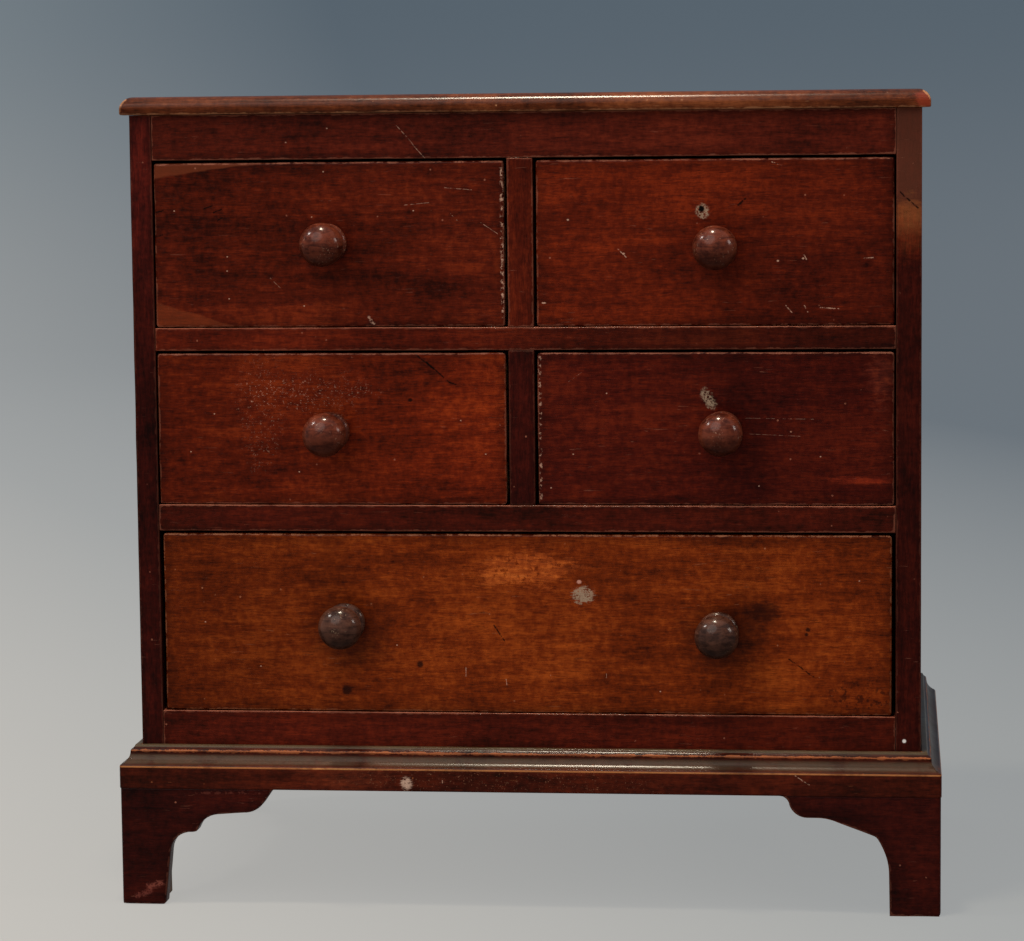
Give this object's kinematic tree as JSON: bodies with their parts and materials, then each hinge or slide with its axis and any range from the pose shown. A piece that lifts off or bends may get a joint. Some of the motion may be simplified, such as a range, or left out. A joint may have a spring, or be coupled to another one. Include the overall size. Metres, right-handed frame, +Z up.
{
  "type": "miniature chest of drawers",
  "caption": "Miniature wooden chest with short drawers above a long one, moulded top and plinth, shaped bracket feet and turned knobs; every drawer slides open.",
  "frame": {"origin": "on the floor at the middle of the whole object, knobs included", "axes": "+Z up, front faces -Y, +X to the right as seen from the front"},
  "size_m": [0.3682, 0.2358, 0.3631],
  "materials": {
    "top_mahogany": "worn wax polish over red-brown mahogany",
    "case_mahogany": "dark aged polish, worn at the edges",
    "base_mahogany": "dark aged polish, chipped and rubbed on the arrises",
    "drawer_mahogany": "aged polish over figured red-brown mahogany, scratched",
    "short_drawer_knobs": "glossy dark red-brown turned wood",
    "long_drawer_knobs": "glossy near-black turned wood",
    "pine_linings": "bare aged pine",
    "pine_inside": "bare aged pine, dusty",
    "pine_back": "bare aged pine darkened by age",
    "iron_nails": "dark oxidised cut nails"
  },
  "bodies": {
    "case": {"top_board": "top_mahogany", "left_side": "case_mahogany", "right_side": "case_mahogany", "bottom_board": "pine_inside", "back_board_upper": "pine_back", "back_board_lower": "pine_back", "top_rail": "case_mahogany", "upper_rail": "case_mahogany", "lower_rail": "case_mahogany", "bottom_rail": "case_mahogany", "upper_muntin": "case_mahogany", "lower_muntin": "case_mahogany", "side_runners": "pine_inside", "centre_runners": "pine_inside", "drawer_guides": "pine_inside", "kickers": "pine_inside", "plinth_front": "base_mahogany", "plinth_left": "base_mahogany", "plinth_right": "base_mahogany", "front_left_bracket": "base_mahogany", "front_right_bracket": "base_mahogany", "left_front_bracket": "base_mahogany", "right_front_bracket": "base_mahogany", "left_rear_bracket": "base_mahogany", "right_rear_bracket": "base_mahogany", "rear_left_bracket": "pine_inside", "rear_right_bracket": "pine_inside", "foot_blocks": "pine_inside", "back_nails": "iron_nails"},
    "top_left_drawer": {"top_left_drawer_front": "drawer_mahogany", "top_left_drawer_left_side": "pine_linings", "top_left_drawer_right_side": "pine_linings", "top_left_drawer_back": "pine_linings", "top_left_drawer_floor": "pine_linings", "top_left_drawer_knob": "short_drawer_knobs"},
    "top_right_drawer": {"top_right_drawer_front": "drawer_mahogany", "top_right_drawer_left_side": "pine_linings", "top_right_drawer_right_side": "pine_linings", "top_right_drawer_back": "pine_linings", "top_right_drawer_floor": "pine_linings", "top_right_drawer_knob": "short_drawer_knobs"},
    "middle_left_drawer": {"middle_left_drawer_front": "drawer_mahogany", "middle_left_drawer_left_side": "pine_linings", "middle_left_drawer_right_side": "pine_linings", "middle_left_drawer_back": "pine_linings", "middle_left_drawer_floor": "pine_linings", "middle_left_drawer_knob": "short_drawer_knobs"},
    "middle_right_drawer": {"middle_right_drawer_front": "drawer_mahogany", "middle_right_drawer_left_side": "pine_linings", "middle_right_drawer_right_side": "pine_linings", "middle_right_drawer_back": "pine_linings", "middle_right_drawer_floor": "pine_linings", "middle_right_drawer_knob": "short_drawer_knobs"},
    "bottom_drawer": {"bottom_drawer_front": "drawer_mahogany", "bottom_drawer_left_side": "pine_linings", "bottom_drawer_right_side": "pine_linings", "bottom_drawer_back": "pine_linings", "bottom_drawer_floor": "pine_linings", "bottom_drawer_left_knob": "long_drawer_knobs", "bottom_drawer_right_knob": "long_drawer_knobs"}
  },
  "joints": [
    {"name": "top_left_slide", "type": "slide", "parent": "case", "child": "top_left_drawer", "axis": [0, -1, 0], "range_m": [0, 0.125]},
    {"name": "top_right_slide", "type": "slide", "parent": "case", "child": "top_right_drawer", "axis": [0, -1, 0], "range_m": [0, 0.125]},
    {"name": "middle_left_slide", "type": "slide", "parent": "case", "child": "middle_left_drawer", "axis": [0, -1, 0], "range_m": [0, 0.125]},
    {"name": "middle_right_slide", "type": "slide", "parent": "case", "child": "middle_right_drawer", "axis": [0, -1, 0], "range_m": [0, 0.125]},
    {"name": "bottom_slide", "type": "slide", "parent": "case", "child": "bottom_drawer", "axis": [0, -1, 0], "range_m": [0, 0.125]}
  ]
}
